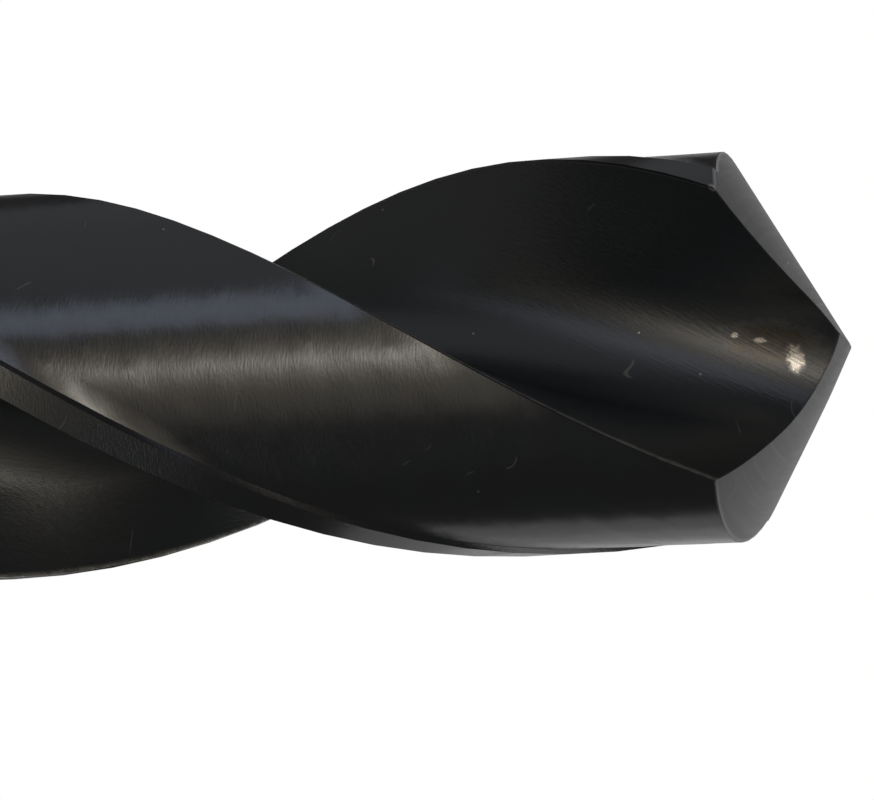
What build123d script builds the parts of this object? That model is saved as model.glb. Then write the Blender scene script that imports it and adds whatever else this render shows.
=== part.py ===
"""Jobber-length twist drill: two right-hand flutes, a 118 degree ground point and a plain shank.

The drill stands on the end of its shank. Its axis is +Z, the point is at the top, and the
two cutting lips lie parallel to X. Lengths are in millimetres and angles in degrees.
"""

from build123d import *
import math
import os

# Whole tool
drill_diameter = 13.0
overall_length = 151.0
flute_length = 101.0

# Lands
helix_lead = 67.7           # rise of one full turn, a helix angle of 31 degrees at the margin
land_angle = 85.4           # arc of one land, from its leading edge back to its heel
margin_width = 1.1          # full-diameter strip behind the leading edge
body_clearance = 0.15       # how far the land just behind the margin lies under the full radius
heel_clearance = 0.05       # how far the land still lies under it at the heel
step_angle = 1.5            # arc over which the margin falls to the cleared land
heel_edge_break = 0.08      # blunting of the heel edge, along each of its two faces

# Flutes
web_thickness = 1.56        # core between the flutes at the point
web_growth = 1.0            # how much thicker the core is at the shank end of the flutes
heel_wall_lean = 3.4        # lean of the heel wall away from square to the rake wall
flute_run_out = 20.0        # length over which a flute rises out of the body at the shank

# Point
point_angle = 118.0
cone_axis_offset = 2.61     # each flank's cone axis lies this far behind and beside the drill axis

# Shank
shank_diameter = 13.0
shank_end_chamfer = 1.0

land_count = 2
land_pitch = 360 / land_count
drill_radius = drill_diameter / 2
heel_radius = drill_radius - heel_clearance
outside_radius = 1.3 * drill_radius
half_web = web_thickness / 2
flute_start = overall_length - flute_length
twist_rate = 360 / helix_lead
margin_angle = math.degrees(margin_width / drill_radius)
cleared_from = margin_angle + step_angle
heel_angle = land_pitch - land_angle

# The flank cones meet at the tip of the chisel edge, and each lip runs half a web ahead of
# the axis. That fixes where the lip reaches the margin.
cone_slope = 1 / math.tan(math.radians(point_angle / 2))
tip_to_cone = math.hypot(cone_axis_offset, cone_axis_offset)
lip_length = math.sqrt(drill_radius**2 - half_web**2)
corner_to_cone = math.hypot(lip_length + cone_axis_offset, half_web - cone_axis_offset)
corner_height = overall_length - (corner_to_cone - tip_to_cone) * cone_slope
corner_azimuth = math.degrees(math.asin(half_web / drill_radius))


def polar(radius, azimuth):
    """Point of a section at a radius and an azimuth."""
    angle = math.radians(azimuth)
    return (radius * math.cos(angle), radius * math.sin(angle))


def leading_azimuth(height):
    """Azimuth of the first land's leading edge at a height on the drill."""
    return corner_azimuth + twist_rate * (height - corner_height)


def cleared_point(leading_edge, behind):
    """Point of the cleared land, which rises toward the heel, at an angle behind a leading edge."""
    share = (behind - cleared_from) / (land_angle - cleared_from)
    clearance = body_clearance + share * (heel_clearance - body_clearance)
    return polar(drill_radius - clearance, leading_edge - behind)


def land_section():
    """Section of the drill before its flutes are cut: full size at the margins, cleared between.

    Both arcs of a land run on into the flutes, whose walls cut them off.
    """
    mid_flute = heel_angle / 2
    cleared_to = land_pitch - mid_flute
    with BuildSketch() as section:
        with BuildLine():
            for land in range(land_count):
                lead = land * land_pitch
                step_top = polar(drill_radius, lead - margin_angle)
                step_foot = cleared_point(lead, cleared_from)
                cleared_end = cleared_point(lead, cleared_to)
                ThreePointArc(polar(drill_radius, lead + mid_flute), polar(drill_radius, lead), step_top)
                Line(step_top, step_foot)
                ThreePointArc(step_foot, cleared_point(lead, (cleared_from + cleared_to) / 2), cleared_end)
                Line(cleared_end, polar(drill_radius, lead - cleared_to))
        make_face()
    return section.sketch


def flute_section(core_radius):
    """Section of the flute ahead of a leading edge that lies on +X.

    A radial rake wall and a leaning heel wall are joined by a round bottom, which touches the
    core, and that fixes its radius. The heel edge is broken by a short bevel.
    """
    lean = math.radians(heel_wall_lean)
    heel_x, heel_y = polar(heel_radius, heel_angle)
    wall_foot = heel_x - heel_y * math.tan(lean)
    spread = 1 / math.tan(math.pi / 4 - lean / 2)
    reach = core_radius - wall_foot * spread
    bottom_radius = (reach + math.sqrt(reach**2 - spread**2 * (wall_foot**2 - core_radius**2))) / spread**2
    bevel_foot = (heel_x - heel_edge_break * math.tan(lean), heel_y - heel_edge_break)
    bevel_rise = outside_radius - bevel_foot[1]
    bevel_end = (bevel_foot[0] - bevel_rise, outside_radius)
    with BuildSketch() as section:
        with BuildLine():
            rake_start = (outside_radius, 0)
            FilletPolyline(rake_start, (wall_foot, 0), bevel_foot, radius=bottom_radius)
            Polyline(bevel_foot, bevel_end, (outside_radius, outside_radius), rake_start)
        make_face()
    return section.sketch.face()


def twisted_lands():
    """The fluted length as a twisted bar, from the shank up to the tip."""
    base = Location((0, 0, flute_start), (0, 0, leading_azimuth(flute_start)))
    section = (base * land_section()).face()
    twist = twist_rate * flute_length
    return Solid.extrude_linear_with_rotation(section, base.position, (0, 0, flute_length), twist)


def rising_core():
    """Core that rises to the full diameter at the shank, along the arc a milling cutter leaves."""
    top = flute_start + flute_run_out
    start_radius = half_web / 2
    rise = drill_radius - start_radius
    cutter_radius = (rise**2 + flute_run_out**2) / (2 * rise)
    half_sweep = math.atan2(flute_run_out, cutter_radius - rise) / 2
    middle_radius = start_radius + cutter_radius * (1 - math.cos(half_sweep))
    middle_height = top - cutter_radius * math.sin(half_sweep)
    with BuildSketch(Plane.XZ) as section:
        with BuildLine():
            ThreePointArc((start_radius, top), (middle_radius, middle_height), (drill_radius, flute_start))
            Polyline((drill_radius, flute_start), (0, flute_start), (0, top), (start_radius, top))
        make_face()
    return revolve(section.sketch, Axis.Z)


def flute(land):
    """Space of one flute: its section follows the helix down from the tip as the core thickens."""
    path = Helix(
        pitch=helix_lead,
        height=flute_length,
        radius=drill_radius,
        center=(0, 0, overall_length),
        direction=(0, 0, -1),
    )
    path_start = math.degrees(math.atan2((path @ 0).Y, (path @ 0).X))
    path_end = path_start - twist_rate * flute_length
    at_tip = Location((0, 0, overall_length), (0, 0, path_start))
    at_shank = Location((0, 0, flute_start), (0, 0, path_end))
    sections = [
        at_tip * flute_section(half_web),
        at_shank * flute_section(half_web + web_growth / 2),
    ]
    swept = sweep(sections, path=path, multisection=True, is_frenet=True)
    turn = leading_azimuth(overall_length) + land * land_pitch - path_start
    return Rot(0, 0, turn) * swept - rising_core()


def shank():
    """Plain shank, chamfered at its end."""
    blank = Cylinder(shank_diameter / 2, flute_start, align=(Align.CENTER, Align.CENTER, Align.MIN))
    end_edge = blank.edges().sort_by(Axis.Z)[0]
    return chamfer(end_edge, shank_end_chamfer)


def flank_cone(land):
    """Cone whose surface is one ground flank. Its axis is parallel to the drill's."""
    depth = 2 * overall_length
    vertex = Pos(-cone_axis_offset, cone_axis_offset, overall_length + tip_to_cone * cone_slope)
    cone = Cone(depth / cone_slope, 0, depth, align=(Align.CENTER, Align.CENTER, Align.MAX))
    return Rot(0, 0, land * land_pitch) * vertex * cone


def twist_drill():
    """The whole drill as one solid."""
    body = twisted_lands()
    for land in range(land_count):
        body = body - flute(land)
    body = body + shank()
    for land in range(land_count):
        body = body & flank_cone(land)
    return body


if __name__ == "__main__":
    os.makedirs("parts", exist_ok=True)
    drill = twist_drill()
    export_step(drill, "parts/twist_drill.step")
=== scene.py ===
"""Dresses a packed twist drill in black oxide, lights it with soft lamps and sets the camera.

The drill stands on the end of its shank with its point at the top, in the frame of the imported
model. Sizes that describe the drill are in millimetres. The scene's own lengths are in metres.
"""

import logging
import math
from dataclasses import dataclass, field
from enum import Enum
from functools import partial
from typing import Any, Callable

import bpy
from mathutils import Matrix, Vector


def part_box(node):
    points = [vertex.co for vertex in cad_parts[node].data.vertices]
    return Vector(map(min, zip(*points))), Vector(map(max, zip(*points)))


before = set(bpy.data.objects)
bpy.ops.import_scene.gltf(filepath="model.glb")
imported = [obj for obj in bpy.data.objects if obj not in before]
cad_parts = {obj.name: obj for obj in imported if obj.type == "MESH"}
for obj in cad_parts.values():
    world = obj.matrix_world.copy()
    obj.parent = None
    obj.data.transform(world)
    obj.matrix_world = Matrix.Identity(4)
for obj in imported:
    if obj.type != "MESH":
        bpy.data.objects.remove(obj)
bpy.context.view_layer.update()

LOG = logging.getLogger("twist_drill")
MM = 0.001
WHITE = "#ffffff"
NOISE_MIDDLE = 0.5

# Places of a Mix node's sockets, which bear the same names for every kind of value.
FACTOR = 0
NUMBER_A, NUMBER_B, NUMBER_MIX = 2, 3, 0
VECTOR_A, VECTOR_B, VECTOR_MIX = 4, 5, 1
COLOUR_A, COLOUR_B, COLOUR_MIX = 6, 7, 2

Socket = bpy.types.NodeSocket
AddNode = Callable[..., Socket]


class Mixed(Enum):
    """Kinds of value that a Mix node mixes, by its data type, with the places of its sockets."""

    FLOAT = (NUMBER_A, NUMBER_B, NUMBER_MIX)
    VECTOR = (VECTOR_A, VECTOR_B, VECTOR_MIX)
    RGBA = (COLOUR_A, COLOUR_B, COLOUR_MIX)


def linear(hex_colour: str) -> tuple[float, float, float, float]:
    """Turns an sRGB hex colour into the linear colour that a node's socket takes.

    Args:
        hex_colour: Colour as "#rrggbb".

    Returns:
        Linear red, green and blue, with an alpha of 1.
    """
    channels = [int(hex_colour[i : i + 2], 16) / 255 for i in (1, 3, 5)]
    # The numbers are those of the sRGB standard: a straight foot, then a power.
    red, green, blue = (
        value / 12.92 if value <= 0.04045 else ((value + 0.055) / 1.055) ** 2.4
        for value in channels
    )
    return (red, green, blue, 1.0)


def add_node(
    tree: bpy.types.NodeTree,
    kind: str,
    inputs: list[Any] | dict[int | str, Any],
    output: int | str = 0,
    **settings: Any,
) -> Socket | None:
    """Adds a shader node with its settings and links.

    Args:
        tree: Node tree that gets the node.
        kind: Name of the node's type, without its first word.
        inputs: What feeds each input, in order or by name or place: another node's socket or a
            plain value.
        output: Name or number of the output to hand back.
        **settings: Properties of the node itself.

    Returns:
        The chosen output socket, or none for an output node.
    """
    node = tree.nodes.new(f"ShaderNode{kind}")
    for name, value in settings.items():
        setattr(node, name, value)
    for key, value in inputs.items() if isinstance(inputs, dict) else enumerate(inputs):
        if isinstance(value, Socket):
            tree.links.new(value, node.inputs[key])
        else:
            node.inputs[key].default_value = value
    return node.outputs[output] if node.outputs else None


def towards(azimuth: float, elevation: float) -> Vector:
    """Turns an azimuth and an elevation into a direction.

    Args:
        azimuth: Angle round the drill's axis, in degrees.
        elevation: Angle above the horizon, in degrees.

    Returns:
        The direction, as a vector of length 1.
    """
    turn, rise = math.radians(azimuth), math.radians(elevation)
    flat = math.cos(rise)
    return Vector((math.cos(turn) * flat, math.sin(turn) * flat, math.sin(rise)))


@dataclass(frozen=True)
class ProductCamera:
    """A long lens close to the tip, turned so that the drill lies across the frame.

    The azimuth and elevation give the way from the drill to the camera, in degrees. The
    distances, the lens and the sensor are in millimetres. The tip's pixel counts from the top
    left corner of the frame.
    """

    azimuth: float = -121.24
    elevation: float = 14.40
    roll: float = 3.09
    tip_distance: float = 202.5
    nearest: float = 10.0
    lens: float = 257.2
    sensor: float = 36.0
    frame_size: tuple[int, int] = (874, 800)
    tip_pixel: tuple[float, float] = (848.0, 340.6)

    def axes(self) -> tuple[Vector, Vector, Vector]:
        """Works out how the camera is turned.

        Returns:
            Directions of the frame's right, its top and the line of sight, as the drill has them.
        """
        sight = -towards(self.azimuth, self.elevation)
        side = Vector((0, 0, 1)).cross(sight).normalized()
        along = sight.cross(side).normalized()
        roll = math.radians(self.roll)
        right = along * math.cos(roll) - side * math.sin(roll)
        top = along * math.sin(roll) + side * math.cos(roll)
        return right, top, sight

    def build(self, tip: Vector) -> None:
        """Creates the camera and makes it the scene's own.

        Args:
            tip: Tip of the drill, which the camera keeps at its pixel.
        """
        right, top, sight = self.axes()
        width, height = self.frame_size
        focal_pixels = self.lens / self.sensor * width
        scale = self.tip_distance * MM / focal_pixels
        across = (self.tip_pixel[0] - width / 2) * scale
        up = (height / 2 - self.tip_pixel[1]) * scale
        place = tip - right * across - top * up - sight * self.tip_distance * MM
        camera = bpy.data.objects.new("camera", bpy.data.cameras.new("camera"))
        camera.data.lens = self.lens
        camera.data.sensor_width = self.sensor
        camera.data.clip_start = self.nearest * MM
        turn = Matrix((right, top, -sight)).transposed().to_4x4()
        camera.matrix_world = Matrix.Translation(place) @ turn
        bpy.context.scene.collection.objects.link(camera)
        bpy.context.scene.camera = camera


class Grain(Enum):
    """Ways in which grinding leaves its marks on the drill."""

    ROUND = "round the drill's axis"
    WHEEL = "along the flute grinding wheel"
    FACE = "round the axis of a flank's cone"


@dataclass(frozen=True)
class Marks:
    """Grinding marks of one surface, in millimetres, and the roughness of its gloss.

    Real grinding marks lie about 0.03 mm apart. They are drawn two to four times as coarse, to
    show.
    """

    grain: Grain
    spacing: float
    length: float
    depth: float
    roughness: float


@dataclass(frozen=True)
class OxideFinish:
    """Black oxide, an oiled conversion layer of magnetite on ground high speed steel.

    It gives a near black with a soft oily gloss, cold in some patches and neutral in others. In
    the flutes its colour is a little paler, and, ground rougher, it is less glossy there; on the
    newly ground flanks it is grey. The patches and borders are in millimetres. A pair of numbers
    says where a change starts and where it is complete: the contrast in the noise, and the
    borders in the depth under the lands or under a flank.
    """

    name: str = "black_oxide_steel"
    cold_black: str = "#0a1213"
    neutral_black: str = "#110f12"
    tint_patch: float = 2.2
    tint_contrast: tuple[float, float] = (0.42, 0.58)
    flute_black: str = "#2d3334"
    flute_share: float = 0.5
    flute_gloss: str = "#dadada"
    flute_border: tuple[float, float] = (0.08, 0.14)
    flank_grey: str = "#48484b"
    flank_border: tuple[float, float] = (0.06, 0.02)
    ior: float = 2.4
    anisotropy: float = 0.3
    roughness_spread: float = 0.14


@dataclass(frozen=True)
class Spot:
    """Round place in a flute: its middle and its reach in the flute's own frame, in millimetres."""

    middle: tuple[float, float, float]
    reach: tuple[float, float, float]


@dataclass(frozen=True)
class WornSteel:
    """Bare high speed steel, where chips and handling have rubbed the oxide off.

    It glints on the edges and deep in the flute by the point, where heat has tinted it straw.
    Lengths are in millimetres. A pair of numbers says where a change starts and where it is
    complete.
    """

    colour: str = "#d2cdc5"
    straw: str = "#8f7a45"
    brown: str = "#5d4632"
    roughness: float = 0.22

    # Blotches make the spots and the heel edge patchy, and decide between brown and straw.
    blotch_size: float = 0.25
    heat_contrast: tuple[float, float] = (0.42, 0.60)

    # Spots by the chisel edge and a chip at a lip's outer corner. The border is in shares of a
    # spot's reach.
    blotch_pull: float = 1.6
    spot_border: tuple[float, float] = (0.45, -0.35)
    bright_spots: tuple[Spot, ...] = (
        Spot((0.80, 0.42, 149.40), (0.60, 0.50, 0.33)),
        Spot((4.38, -4.75, 147.62), (0.14, 0.14, 0.14)),
        Spot((0.86, -0.28, 147.43), (0.20, 0.12, 0.16)),
        Spot((0.83, -0.15, 148.25), (0.20, 0.10, 0.26)),
    )
    tinted_spot: Spot = Spot((0.85, -0.05, 148.60), (0.9, 0.75, 1.7))
    tinted_bareness: float = 0.30
    tinted_fade: tuple[float, float] = (0.05, 0.25)

    # Heel edge: its width, the share of it that is bare all through, and how deep it goes.
    edge_width: float = 0.05
    edge_core: float = 0.4
    edge_depth: tuple[float, float] = (0.25, 0.12)
    edge_contrast: tuple[float, float] = (0.40, 0.62)
    edge_bareness: tuple[float, float] = (0.25, 0.9)

    # Specks, one to a cell in the chosen share of cells.
    speck_spacing: float = 1.1
    speck_size: float = 0.05
    speck_core: float = 0.5
    speck_share: float = 0.35

    # Scratches: one line to each unit of this slope, so 2.4 mm apart, and a width in units.
    scratch_slope: tuple[float, float, float] = (0.21, 0.12, 0.33)
    scratch_half_unit: float = 0.5
    scratch_width: tuple[float, float] = (0.010, 0.004)
    scratch_waver: float = 1.2
    wavers_per_mm: float = 0.5
    islands_per_mm: float = 0.9
    island_border: tuple[float, float] = (0.68, 0.72)
    scratch_bareness: float = 0.3


@dataclass(frozen=True)
class DrillSizes:
    """Sizes of the drill that its finish follows, in millimetres and degrees.

    The last one is the length over which the true curve of a flute takes over from the packed
    facets, past its run-out.
    """

    radius: float
    length: float
    flute_length: float = 101.0
    helix_lead: float = 67.7
    land_angle: float = 85.4
    margin_width: float = 1.1
    step_angle: float = 1.5
    web_thickness: float = 1.56
    web_growth: float = 1.0
    heel_wall_lean: float = 3.4
    body_clearance: float = 0.15
    heel_clearance: float = 0.05
    point_angle: float = 118.0
    cone_axis_offset: float = 2.61
    fillet_angle: float = 7.0
    fillet_height: float = 0.055
    wrap_angle: float = 5.0
    flute_run_out: float = 20.0
    run_out_blend: float = 5.0

    @property
    def cone_slope(self) -> float:
        """Fall of the point for each millimetre out from a flank's cone axis."""
        return 1 / math.tan(math.radians(self.point_angle / 2))

    @property
    def tip_to_cone(self) -> float:
        """Distance of each cone axis from the drill's own."""
        return math.hypot(self.cone_axis_offset, self.cone_axis_offset)

    @property
    def corner_height(self) -> float:
        """Works out the height at which a lip meets its margin.

        Returns:
            The height above the end of the shank.
        """
        half_web = self.web_thickness / 2
        lip = math.sqrt(self.radius**2 - half_web**2)
        reach = math.hypot(lip + self.cone_axis_offset, half_web - self.cone_axis_offset)
        return self.length - (reach - self.tip_to_cone) * self.cone_slope

    @property
    def corner_azimuth(self) -> float:
        """Azimuth of the first lip's outer corner, in radians."""
        return math.asin(self.web_thickness / 2 / self.radius)

    @property
    def flute_middle(self) -> float:
        """Angle of a flute's middle ahead of its leading edge, in radians."""
        return math.radians(180 - self.land_angle) / 2

    @property
    def margin_angle(self) -> float:
        """Angle behind the leading edge at which the margin ends, in radians."""
        return self.margin_width / self.radius

    @property
    def step_foot(self) -> float:
        """Angle behind the leading edge at which the cleared land starts, in radians."""
        return self.margin_angle + math.radians(self.step_angle)

    @property
    def twist_rate(self) -> float:
        """Turn of the flutes for each millimetre of height, in radians."""
        return 2 * math.pi / self.helix_lead

    @property
    def wheel_slope(self) -> float:
        """Way across the flute, for each millimetre up, of the wheel set at the helix angle."""
        return self.twist_rate * (self.radius - self.web_thickness / 2)

    def bottom_centre(self, core_radius: float) -> Vector:
        """Finds the centre of a flute's round bottom, which touches the core and both walls.

        Args:
            core_radius: Radius of the core between the flutes, in millimetres.

        Returns:
            The centre in the flute's own frame.
        """
        lean = math.radians(self.heel_wall_lean)
        heel_angle = math.pi - math.radians(self.land_angle)
        heel_x, heel_y = math.cos(heel_angle), math.sin(heel_angle)
        wall_foot = (self.radius - self.heel_clearance) * (heel_x - heel_y * math.tan(lean))
        spread = 1 / math.tan(math.pi / 4 - lean / 2)
        reach = core_radius - wall_foot * spread
        root = math.sqrt(reach**2 - spread**2 * (wall_foot**2 - core_radius**2))
        bottom_radius = (reach + root) / spread**2
        centre = Vector((wall_foot + bottom_radius * spread, bottom_radius, 0.0))
        return Matrix.Rotation(-self.flute_middle, 3, "Z") @ centre


@dataclass(frozen=True)
class Fields:
    """Sockets that say where on the drill a point lies, in millimetres and radians.

    Place is the point itself and in_flute the same point in its flute's own frame, with the
    flute's middle along X; turn and fold are what brought it there. Behind is its angle behind
    the nearest leading edge, depth its depth under the lands, and reach its distance from the
    axis of the flank's cone. The masks are 1 along the fluted length, in the flutes and on the
    flanks.
    """

    place: Socket
    in_flute: Socket
    turn: Socket
    fold: Socket
    behind: Socket
    depth: Socket
    reach: Socket
    fluted: Socket
    flute: Socket
    flank: Socket


@dataclass
class TwistDrill:
    """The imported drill, kept as it is and dressed in its finish."""

    sizes: DrillSizes
    oxide: OxideFinish = field(default_factory=OxideFinish)
    steel: WornSteel = field(default_factory=WornSteel)
    skin: Marks = Marks(Grain.ROUND, spacing=0.065, length=0.24, depth=0.0046, roughness=0.225)
    flutes: Marks = Marks(Grain.WHEEL, spacing=0.10, length=2.4, depth=0.0078, roughness=0.32)
    flanks: Marks = Marks(Grain.FACE, spacing=0.12, length=2.5, depth=0.002, roughness=0.38)

    def dress(self, node: bpy.types.Object) -> None:
        """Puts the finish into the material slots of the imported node.

        Args:
            node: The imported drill.
        """
        material = self.material()
        for slot in node.material_slots:
            slot.material = material

    def material(self) -> bpy.types.Material:
        """Makes the black oxide finish, with its grinding marks and its worn places.

        Returns:
            The material.
        """
        material = bpy.data.materials.new(self.oxide.name)
        material.use_nodes = True
        tree = material.node_tree
        tree.nodes.clear()
        add = partial(add_node, tree)
        fields = self.fields(add)
        worn, bare_steel = self.wear(add, fields)
        height, ground = self.grinding(add, fields)
        roughness = {FACTOR: worn, NUMBER_A: ground, NUMBER_B: self.steel.roughness}
        colour = {FACTOR: worn, COLOUR_A: self.black(add, fields), COLOUR_B: bare_steel}
        gloss = {
            FACTOR: fields.flute,
            COLOUR_A: linear(WHITE),
            COLOUR_B: linear(self.oxide.flute_gloss),
        }
        # The height is in millimetres, and the distance turns it into metres.
        relief = {
            "Height": height,
            "Distance": MM,
            "Strength": 1.0,
            "Normal": self.flute_normal(add, fields),
        }
        shader = add(
            "BsdfPrincipled",
            {
                "Base Color": add("Mix", colour, COLOUR_MIX, data_type="RGBA"),
                "Metallic": worn,
                "Roughness": add("Mix", roughness),
                "IOR": self.oxide.ior,
                "Specular Tint": add("Mix", gloss, COLOUR_MIX, data_type="RGBA"),
                "Anisotropic": self.oxide.anisotropy,
                "Tangent": self.gloss_way(add, fields),
                "Normal": add("Bump", relief),
            },
        )
        add("OutputMaterial", {"Surface": shader})
        return material

    def fields(self, add: AddNode) -> Fields:
        """Works out where on the drill a point lies.

        Args:
            add: Adds a node to the material.

        Returns:
            The sockets that the rest of the finish reads.
        """
        sizes, oxide = self.sizes, self.oxide
        metres = add("TexCoord", {}, "Object")
        place = add("VectorMath", {0: metres, "Scale": 1 / MM}, operation="SCALE")
        x, y, z = (add("SeparateXYZ", [place], axis) for axis in "XYZ")
        flat = add("CombineXYZ", [x, y])

        # Azimuth of the first leading edge at the point's height, and the angle behind the
        # nearest. It wraps a little ahead of the edge, so that a facet of the rake face lies all
        # on one side.
        height = add("Math", [z, sizes.corner_height], operation="SUBTRACT")
        edge = [height, sizes.twist_rate, sizes.corner_azimuth]
        edge = add("Math", edge, operation="MULTIPLY_ADD")
        azimuth = add("Math", [y, x], operation="ARCTAN2")
        behind = add("Math", [edge, azimuth], operation="SUBTRACT")
        ahead = math.radians(sizes.wrap_angle)
        behind = add("Math", [behind, math.pi - ahead, -ahead], operation="WRAP")

        # The point turned back along the helix, and by half a turn more from the second flute.
        turn = add("Math", [edge, -1.0, -sizes.flute_middle], operation="MULTIPLY_ADD")
        turned = add("VectorRotate", {"Vector": place, "Angle": turn}, rotation_type="Z_AXIS")
        side = add("Math", [add("SeparateXYZ", [turned], "X")], operation="SIGN")
        fold = add("CombineXYZ", [side, side, 1.0])
        in_flute = add("VectorMath", [turned, fold], operation="MULTIPLY")

        fluted = add("Math", [z, sizes.length - sizes.flute_length], operation="GREATER_THAN")
        radius = add("VectorMath", [flat], "Value", operation="LENGTH")
        land = self.land_radius(add, behind, fluted)
        depth = add("Math", [land, radius], operation="SUBTRACT")
        flute = add("MapRange", [depth, *oxide.flute_border], interpolation_type="SMOOTHSTEP")
        reach, below = self.under_flank(add, flat, z)
        flank = add("MapRange", [below, *oxide.flank_border], interpolation_type="SMOOTHSTEP")
        return Fields(place, in_flute, turn, fold, behind, depth, reach, fluted, flute, flank)

    def land_radius(self, add: AddNode, behind: Socket, fluted: Socket) -> Socket:
        """Works out how far out the lands lie: full at the margin and cleared behind it.

        Args:
            add: Adds a node to the material.
            behind: Angle behind the nearest leading edge, in radians.
            fluted: Mask of the fluted length.

        Returns:
            The radius of the land, in millimetres.
        """
        sizes = self.sizes
        clearance = {
            "Value": behind,
            "From Min": sizes.step_foot,
            "From Max": math.radians(sizes.land_angle),
            "To Min": sizes.body_clearance,
            "To Max": sizes.heel_clearance,
        }
        step = add("MapRange", [behind, sizes.margin_angle, sizes.step_foot])
        step = add("Math", [step, fluted], operation="MULTIPLY")
        cleared = add("Math", [add("MapRange", clearance), step], operation="MULTIPLY")
        return add("Math", [sizes.radius, cleared], operation="SUBTRACT")

    def under_flank(self, add: AddNode, flat: Socket, z: Socket) -> tuple[Socket, Socket]:
        """Measures a point against the two cones to which the flanks are ground.

        The drill lies under both, so the cone whose axis is farther away is the one that counts.

        Args:
            add: Adds a node to the material.
            flat: The point without its height, in millimetres.
            z: Height of the point, in millimetres.

        Returns:
            Distance from that cone's axis, and depth under its surface.
        """
        sizes = self.sizes
        reaches = []
        for offset in (sizes.cone_axis_offset, -sizes.cone_axis_offset):
            out = add("VectorMath", [flat, (offset, -offset, 0)], operation="ADD")
            reaches.append(add("VectorMath", [out], "Value", operation="LENGTH"))
        reach = add("Math", reaches, operation="MAXIMUM")
        top = sizes.length + sizes.tip_to_cone * sizes.cone_slope
        cone = add("Math", [reach, -sizes.cone_slope, top], operation="MULTIPLY_ADD")
        return reach, add("Math", [cone, z], operation="SUBTRACT")

    def by_surface(self, add: AddNode, fields: Fields, kind: Mixed, values: list[Any]) -> Socket:
        """Gives each surface of the drill its own value.

        Args:
            add: Adds a node to the material.
            fields: Where on the drill a point lies.
            kind: What the values are.
            values: Value of the lands and the shank, of the flutes and of the flanks.

        Returns:
            The value at the point.
        """
        first, second, output = kind.value
        mixed, *others = values
        for mask, other in zip((fields.flute, fields.flank), others):
            inputs = {FACTOR: mask, first: mixed, second: other}
            mixed = add("Mix", inputs, output, data_type=kind.name)
        return mixed

    def run_of_marks(self, add: AddNode, fields: Fields, marks: Marks) -> Socket:
        """Lays coordinates over a surface in which its marks are about a unit wide and long.

        Args:
            add: Adds a node to the material.
            fields: Where on the drill a point lies.
            marks: Marks of the surface.

        Returns:
            The coordinates.
        """
        if marks.grain is Grain.ROUND:
            run = fields.place
            steps = (marks.length, marks.length, marks.spacing)
        elif marks.grain is Grain.WHEEL:
            x, y, z = (add("SeparateXYZ", [fields.in_flute], axis) for axis in "XYZ")
            slide = add("Math", [z, -self.sizes.wheel_slope, y], operation="MULTIPLY_ADD")
            run = add("CombineXYZ", [x, slide, z])
            steps = (marks.spacing, marks.spacing, marks.length)
        else:
            y, z = (add("SeparateXYZ", [fields.in_flute], axis) for axis in "YZ")
            run = add("CombineXYZ", [fields.reach, y, z])
            steps = (marks.spacing, marks.length, marks.length)
        return add("VectorMath", [run, steps], operation="DIVIDE")

    def grinding(self, add: AddNode, fields: Fields) -> tuple[Socket, Socket]:
        """Draws each surface's own run of grinding marks.

        Args:
            add: Adds a node to the material.
            fields: Where on the drill a point lies.

        Returns:
            The height of the surface in millimetres, and its roughness.
        """
        surfaces = (self.skin, self.flutes, self.flanks)
        choose = partial(self.by_surface, add, fields)
        runs = [self.run_of_marks(add, fields, marks) for marks in surfaces]
        run = choose(Mixed.VECTOR, runs)
        noise = add("TexNoise", {"Vector": run, "Scale": 1.0, "Detail": 3.0, "Roughness": 0.6})

        depth = choose(Mixed.FLOAT, [marks.depth for marks in surfaces])
        relief = add("Math", [noise, depth], operation="MULTIPLY")
        height = add("Math", [relief, self.fillet(add, fields)], operation="ADD")

        roughness = choose(Mixed.FLOAT, [marks.roughness for marks in surfaces])
        spread = add("Math", [noise, NOISE_MIDDLE], operation="SUBTRACT")
        spread = [spread, self.oxide.roughness_spread, roughness]
        return height, add("Math", spread, operation="MULTIPLY_ADD")

    def flute_normal(self, add: AddNode, fields: Fields) -> Socket:
        """Gives the flutes the even curve of a ground surface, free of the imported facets.

        A flute is one section turned down the helix: a rake wall, a round bottom tangent to it
        and a heel wall. So the way the surface faces follows from the angle about the bottom's
        centre, held within the two seams.

        Args:
            add: Adds a node to the material.
            fields: Where on the drill a point lies.

        Returns:
            The normal, which is the mesh's own outside the flutes and where they run out.
        """
        sizes = self.sizes
        half_web, growth = sizes.web_thickness / 2, sizes.web_growth / 2
        at_tip = sizes.bottom_centre(half_web)
        shift = sizes.bottom_centre(half_web + growth) - at_tip
        z = add("SeparateXYZ", [fields.in_flute], "Z")
        share = add("MapRange", [z, sizes.length, sizes.length - sizes.flute_length])
        centre = [share, tuple(shift), tuple(at_tip)]
        centre = add("VectorMath", centre, operation="MULTIPLY_ADD")
        inward = add("VectorMath", [centre, fields.in_flute], operation="SUBTRACT")
        x, y = (add("SeparateXYZ", [inward], axis) for axis in "XY")

        # The section's own normal, from the way the rake wall faces to the heel wall's.
        half_lean = math.radians(sizes.heel_wall_lean) / 2
        middle = math.pi / 4 - half_lean - sizes.flute_middle
        seam = math.pi / 4 + half_lean
        facing = add("Math", [y, x], operation="ARCTAN2")
        facing = add("Math", [facing, middle - seam], operation="MAXIMUM")
        facing = add("Math", [facing, middle + seam], operation="MINIMUM")
        flat = [add("Math", [facing], operation=part) for part in ("COSINE", "SINE")]
        flat = add("CombineXYZ", flat)

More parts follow.
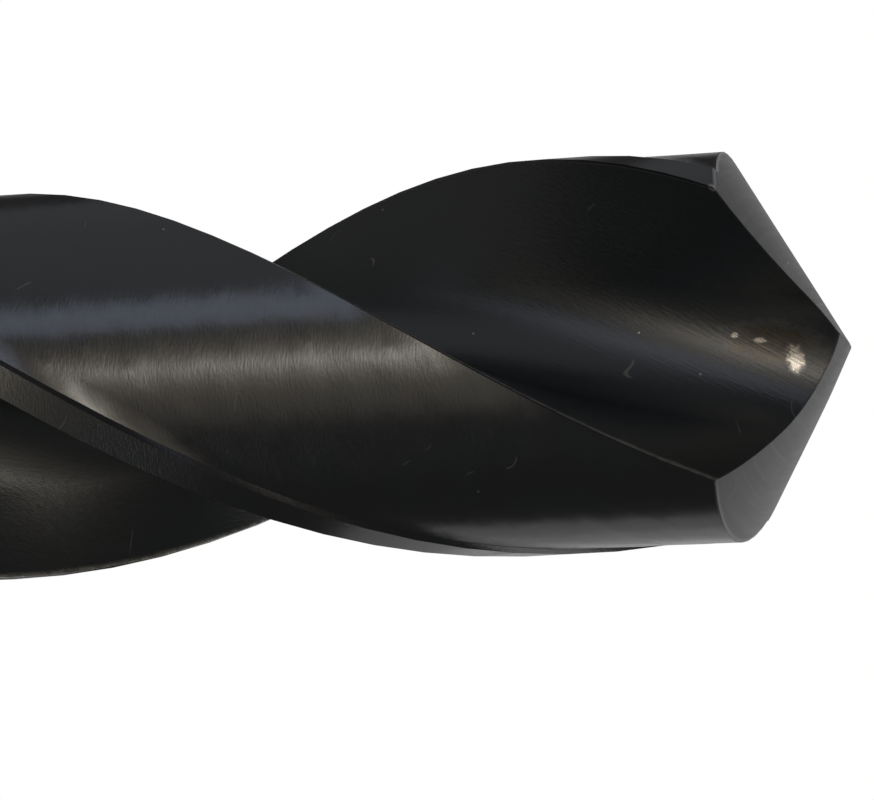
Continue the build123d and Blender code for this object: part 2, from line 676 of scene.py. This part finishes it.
        # It leans up the helix by as much as the section moves along it for each millimetre up.
        sweep = [(0.0, 0.0, sizes.twist_rate), fields.in_flute]
        sweep = add("VectorMath", sweep, operation="CROSS_PRODUCT")
        sweep = add("VectorMath", [sweep, tuple(-shift / sizes.flute_length)], operation="ADD")
        rise = add("VectorMath", [flat, sweep], "Value", operation="DOT_PRODUCT")
        lean = add("CombineXYZ", {"Z": add("Math", [rise, -1.0], operation="MULTIPLY")})
        normal = add("VectorMath", [flat, lean], operation="ADD")

        # Back from the flute's own frame to the drill's, and on to the world's.
        normal = add("VectorMath", [normal, fields.fold], operation="MULTIPLY")
        back = {"Vector": normal, "Angle": fields.turn}
        normal = add("VectorRotate", back, rotation_type="Z_AXIS", invert=True)
        to_world = {"vector_type": "NORMAL", "convert_from": "OBJECT", "convert_to": "WORLD"}
        normal = add("VectorTransform", [normal], **to_world)

        run_out = sizes.length - sizes.flute_length + sizes.flute_run_out
        full = add("MapRange", [z, run_out, run_out + sizes.run_out_blend])
        bare = add("Math", [1.0, fields.flank], operation="SUBTRACT")
        inside = add("Math", [fields.flute, bare], operation="MULTIPLY")
        inside = add("Math", [inside, full], operation="MULTIPLY")
        mixed = {FACTOR: inside, VECTOR_A: add("NewGeometry", {}, "Normal"), VECTOR_B: normal}
        return add("Mix", mixed, VECTOR_MIX, data_type="VECTOR")

    def fillet(self, add: AddNode, fields: Fields) -> Socket:
        """Rounds the foot of the margin's step, where the clearance wheel ran out.

        Args:
            add: Adds a node to the material.
            fields: Where on the drill a point lies.

        Returns:
            Height of the fillet above the cleared land, in millimetres.
        """
        sizes = self.sizes
        foot = sizes.step_foot
        end = foot + math.radians(sizes.fillet_angle)
        share = add("MapRange", [fields.behind, end, foot])
        fade = add("MapRange", [fields.behind, 0.0, sizes.margin_angle])
        bare = add("Math", [1.0, fields.flute], operation="SUBTRACT")
        rise = share
        for factor in (share, fade, fields.fluted, bare, sizes.fillet_height):
            rise = add("Math", [rise, factor], operation="MULTIPLY")
        return rise

    def black(self, add: AddNode, fields: Fields) -> Socket:
        """Colours the oxide: black in two close tones, and grey on the freshly ground flanks.

        Args:
            add: Adds a node to the material.
            fields: Where on the drill a point lies.

        Returns:
            The colour where nothing is worn.
        """
        oxide = self.oxide
        patches = {"Vector": fields.place, "Scale": 1 / oxide.tint_patch, "Detail": 2.0}
        tone = [add("TexNoise", patches), *oxide.tint_contrast]
        tone = add("MapRange", tone, interpolation_type="SMOOTHSTEP")
        body = {
            FACTOR: tone,
            COLOUR_A: linear(oxide.cold_black),
            COLOUR_B: linear(oxide.neutral_black),
        }
        body = add("Mix", body, COLOUR_MIX, data_type="RGBA")
        flute = {
            FACTOR: oxide.flute_share,
            COLOUR_A: body,
            COLOUR_B: linear(oxide.flute_black),
        }
        flute = add("Mix", flute, COLOUR_MIX, data_type="RGBA")
        colours = [body, flute, linear(oxide.flank_grey)]
        return self.by_surface(add, fields, Mixed.RGBA, colours)

    def wear(self, add: AddNode, fields: Fields) -> tuple[Socket, Socket]:
        """Finds the places where bare steel shows.

        Args:
            add: Adds a node to the material.
            fields: Where on the drill a point lies.

        Returns:
            How bare the steel is, from 0 to 1, and its colour there.
        """
        steel = self.steel
        blotches = {"Vector": fields.place, "Scale": 1 / steel.blotch_size, "Detail": 5.0}
        blotches = add("TexNoise", {**blotches, "Roughness": 0.65})
        bright, tinted = self.worn_spots(add, fields, blotches)
        heel = self.worn_heel(add, fields, blotches)
        worn = bright
        for mask in (tinted, heel, self.specks(add, fields), self.scratches(add, fields)):
            worn = add("Math", [worn, mask], operation="MAXIMUM")

        heat = add("MapRange", [blotches, *steel.heat_contrast])
        tint = {FACTOR: heat, COLOUR_A: linear(steel.brown), COLOUR_B: linear(steel.straw)}
        tint = add("Mix", tint, COLOUR_MIX, data_type="RGBA")
        plain = add("MapRange", [tinted, *steel.tinted_fade, 1.0, 0.0])
        plain = add("Math", [plain, bright], operation="MAXIMUM")
        colour = {FACTOR: plain, COLOUR_A: tint, COLOUR_B: linear(steel.colour)}
        return worn, add("Mix", colour, COLOUR_MIX, data_type="RGBA")

    def worn_spots(self, add: AddNode, fields: Fields, blotches: Socket) -> tuple[Socket, Socket]:
        """Rubs the oxide off the spots by the point, with blotchy borders.

        Args:
            add: Adds a node to the material.
            fields: Where on the drill a point lies.
            blotches: Noise that makes the wear patchy.

        Returns:
            How bare the bright spots are, and how bare the tinted one is.
        """
        steel = self.steel
        spots = []
        for spot in (*steel.bright_spots, steel.tinted_spot):
            away = add("VectorMath", [fields.in_flute, spot.middle], operation="SUBTRACT")
            away = add("VectorMath", [away, spot.reach], operation="DIVIDE")
            away = add("VectorMath", [away], "Value", operation="LENGTH")
            away = add("Math", [blotches, -steel.blotch_pull, away], operation="MULTIPLY_ADD")
            inside = [away, *steel.spot_border]
            spots.append(add("MapRange", inside, interpolation_type="SMOOTHSTEP"))
        bright, *others, tinted = spots
        for mask in others:
            bright = add("Math", [bright, mask], operation="MAXIMUM")
        return bright, add("Math", [tinted, steel.tinted_bareness], operation="MULTIPLY")

    def worn_heel(self, add: AddNode, fields: Fields, blotches: Socket) -> Socket:
        """Rubs the heel edge bare in places, as the hole's wall does.

        Args:
            add: Adds a node to the material.
            fields: Where on the drill a point lies.
            blotches: Noise that makes the wear patchy.

        Returns:
            How bare the edge is.
        """
        steel, sizes = self.steel, self.sizes
        heel = add("Math", [fields.behind, math.radians(sizes.land_angle)], operation="SUBTRACT")
        heel = add("Math", [heel], operation="ABSOLUTE")
        heel = add("Math", [heel, sizes.radius], operation="MULTIPLY")
        heel = add("MapRange", [heel, steel.edge_width, steel.edge_core * steel.edge_width])
        shallow = add("MapRange", [fields.depth, *steel.edge_depth])
        rubbed = add("MapRange", [blotches, *steel.edge_contrast, *steel.edge_bareness])
        for mask in (shallow, rubbed, fields.fluted):
            heel = add("Math", [heel, mask], operation="MULTIPLY")
        return heel

    def specks(self, add: AddNode, fields: Fields) -> Socket:
        """Scatters small bare specks over the drill.

        Args:
            add: Adds a node to the material.
            fields: Where on the drill a point lies.

        Returns:
            How bare the specks are.
        """
        steel = self.steel
        cells = {"Vector": fields.place, "Scale": 1 / steel.speck_spacing}
        away = add("TexVoronoi", cells, "Distance")
        size = steel.speck_size / steel.speck_spacing
        dots = add("MapRange", [away, size, steel.speck_core * size])
        chosen = add("SeparateColor", [add("TexVoronoi", cells, "Color")], "Red")
        chosen = add("Math", [chosen, steel.speck_share], operation="LESS_THAN")
        return add("Math", [dots, chosen], operation="MULTIPLY")

    def scratches(self, add: AddNode, fields: Fields) -> Socket:
        """Draws a few short hairlines: straight lines that waver, kept only in small islands.

        Args:
            add: Adds a node to the material.
            fields: Where on the drill a point lies.

        Returns:
            How bare the scratches are.
        """
        steel = self.steel
        along = [fields.place, steel.scratch_slope]
        along = add("VectorMath", along, "Value", operation="DOT_PRODUCT")
        waver = {"Vector": fields.place, "Scale": steel.wavers_per_mm, "Detail": 0.0}
        line = [add("TexNoise", waver), steel.scratch_waver, along]
        line = add("Math", line, operation="MULTIPLY_ADD")
        line = add("Math", [line, steel.scratch_half_unit], operation="PINGPONG")
        hairs = add("MapRange", [line, *steel.scratch_width])
        islands = {"Vector": fields.in_flute, "Scale": steel.islands_per_mm, "Detail": 0.0}
        kept = [add("TexNoise", islands), *steel.island_border, 0.0, steel.scratch_bareness]
        return add("Math", [hairs, add("MapRange", kept)], operation="MULTIPLY")

    def gloss_way(self, add: AddNode, fields: Fields) -> Socket:
        """Turns the gloss: along the axis on the lands and round it in the flutes.

        Args:
            add: Adds a node to the material.
            fields: Where on the drill a point lies.

        Returns:
            The tangent of the anisotropic gloss.
        """
        axial = add("CombineXYZ", {"Z": 1.0})
        around = add("VectorMath", [axial, fields.place], operation="CROSS_PRODUCT")
        around = add("VectorMath", [around], operation="NORMALIZE")
        mixed = {FACTOR: fields.flute, VECTOR_A: axial, VECTOR_B: around}
        return add("Mix", mixed, VECTOR_MIX, data_type="VECTOR")


@dataclass(frozen=True)
class SoftBox:
    """Soft oval lamp that faces the point of the drill.

    Lengths are in metres and angles in degrees. The radiance is in watts for each square metre
    and steradian, the same all over the lamp.
    """

    name: str
    azimuth: float
    elevation: float
    width: float
    height: float
    radiance: float
    colour: str = WHITE
    distance: float = 1.0

    def build(self, aim: Vector) -> None:
        """Places the lamp, which itself stays out of sight.

        Args:
            aim: Place that the lamp faces.
        """
        data = bpy.data.lights.new(self.name, "AREA")
        data.shape = "ELLIPSE"
        data.size, data.size_y = self.width, self.height
        face = math.pi / 4 * self.width * self.height
        data.energy = self.radiance * math.pi * face
        data.color = linear(self.colour)[:3]
        lamp = bpy.data.objects.new(self.name, data)
        way = towards(self.azimuth, self.elevation)
        lamp.location = aim + way * self.distance
        lamp.rotation_mode = "QUATERNION"
        lamp.rotation_quaternion = way.to_track_quat("Z", "Y")
        lamp.visible_camera = False
        bpy.context.scene.collection.objects.link(lamp)


@dataclass(frozen=True)
class Studio:
    """Plain pale stand, white surroundings and a few soft lamps.

    Lengths are in metres and angles in degrees. The stand's glow is only for the eye, the
    backdrop is only for what mirrors it, and the room's faint light falls on everything.
    """

    stand_radius: float = 0.16
    stand_sides: int = 128
    stand_colour: str = "#e4e4e2"
    stand_roughness: float = 0.8
    stand_glow: float = 0.7
    room_light: float = 0.04
    backdrop_azimuth: float = 48.0
    backdrop_elevation: float = 10.0
    backdrop_half_width: tuple[float, float] = (46.0, 16.0)
    backdrop_light: float = 0.62
    lamp_aim: float = 0.130

    # Each lamp's name, azimuth, elevation, width, height, radiance and colour.
    lamps: tuple[SoftBox, ...] = (
        SoftBox("key_lamp", -125, -1, 0.15, 0.57, 1.75, "#fffaf2"),
        SoftBox("key_glow", -124, 0, 0.50, 0.68, 0.40, "#fff3e0"),
        SoftBox("wide_glow", -120, -4, 1.25, 0.70, 0.23, "#fff3e0"),
        SoftBox("cool_lamp", -158.5, -6, 0.34, 0.95, 0.52, "#dde8ff"),
        SoftBox("side_lamp", 148, -12, 2.20, 0.70, 0.13, "#f0f5ff"),
        SoftBox("low_lamp", -70, -35, 0.80, 0.28, 0.45),
        SoftBox("high_lamp", -36, 24, 0.70, 0.34, 0.60),
        SoftBox("rim_lamp", 7, 0, 0.50, 1.00, 0.26),
        SoftBox("top_lamp", 40, 75, 1.00, 0.90, 0.36),
    )

    def build(self) -> None:
        """Builds the stand, the surroundings and the lamps."""
        self.stand()
        self.surroundings()
        aim = Vector((0, 0, self.lamp_aim))
        for lamp in self.lamps:
            lamp.build(aim)
            LOG.info("lamp: %s", lamp.name)

    def stand(self) -> None:
        """Round pale stand under the drill."""
        bpy.ops.object.select_all(action="DESELECT")
        bpy.ops.mesh.primitive_circle_add(
            vertices=self.stand_sides, radius=self.stand_radius, fill_type="NGON"
        )
        stand = bpy.context.active_object
        stand.name = "stand"

        # Matt white card is even and without gloss. It glows a little to stay pale, so the
        # drill's shadow on it is faint.
        material = bpy.data.materials.new("matt_white_card")
        material.use_nodes = True
        tree = material.node_tree
        shader = tree.nodes["Principled BSDF"]
        shader.inputs["Base Color"].default_value = linear(self.stand_colour)
        shader.inputs["Roughness"].default_value = self.stand_roughness
        shader.inputs["Emission Color"].default_value = linear(self.stand_colour)
        seen = add_node(tree, "LightPath", {}, "Is Camera Ray")
        glow = add_node(tree, "Math", [seen, self.stand_glow], operation="MULTIPLY")
        tree.links.new(glow, shader.inputs["Emission Strength"])
        stand.data.materials.append(material)
        LOG.info("stage: stand")

    def surroundings(self) -> None:
        """White for the eye all round. The metal sees a white backdrop behind it in a dim room."""
        world = bpy.data.worlds.new("studio")
        bpy.context.scene.world = world
        world.use_nodes = True
        tree = world.node_tree
        tree.nodes.clear()
        add = partial(add_node, tree)
        way = add("TexCoord", {}, "Generated")
        middle = tuple(towards(self.backdrop_azimuth, self.backdrop_elevation))
        facing = add("VectorMath", [way, middle], "Value", operation="DOT_PRODUCT")
        outer, inner = (math.cos(math.radians(angle)) for angle in self.backdrop_half_width)
        edge = [facing, outer, inner, 0.0, self.backdrop_light]
        backdrop = add("MapRange", edge, interpolation_type="SMOOTHSTEP")
        mirrored = [add("LightPath", {}, f"Is {kind} Ray") for kind in ("Glossy", "Transmission")]
        mirrored = add("Math", mirrored, operation="MAXIMUM")
        mirrored = add("Math", [mirrored, backdrop], operation="MULTIPLY")
        seen = add("LightPath", {}, "Is Camera Ray")
        white = add("Math", [seen, mirrored], operation="MAXIMUM")
        strength = add("Mix", {FACTOR: white, NUMBER_A: self.room_light, NUMBER_B: 1.0})
        shader = add("Background", {"Color": linear(WHITE), "Strength": strength})
        add("OutputWorld", {"Surface": shader})


def main() -> None:
    """Builds the camera, the studio and the drill's finish, and reports each piece."""
    logging.basicConfig(level=logging.INFO, format="%(message)s")
    low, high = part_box("twist_drill")
    ProductCamera().build(Vector((0, 0, high.z)))
    Studio().build()
    sizes = DrillSizes(radius=(high.x - low.x) / 2 / MM, length=high.z / MM)
    TwistDrill(sizes).dress(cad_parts["twist_drill"])
    LOG.info("piece: twist_drill")
    bpy.context.scene.view_settings.view_transform = "Standard"


if __name__ == "__main__":
    main()
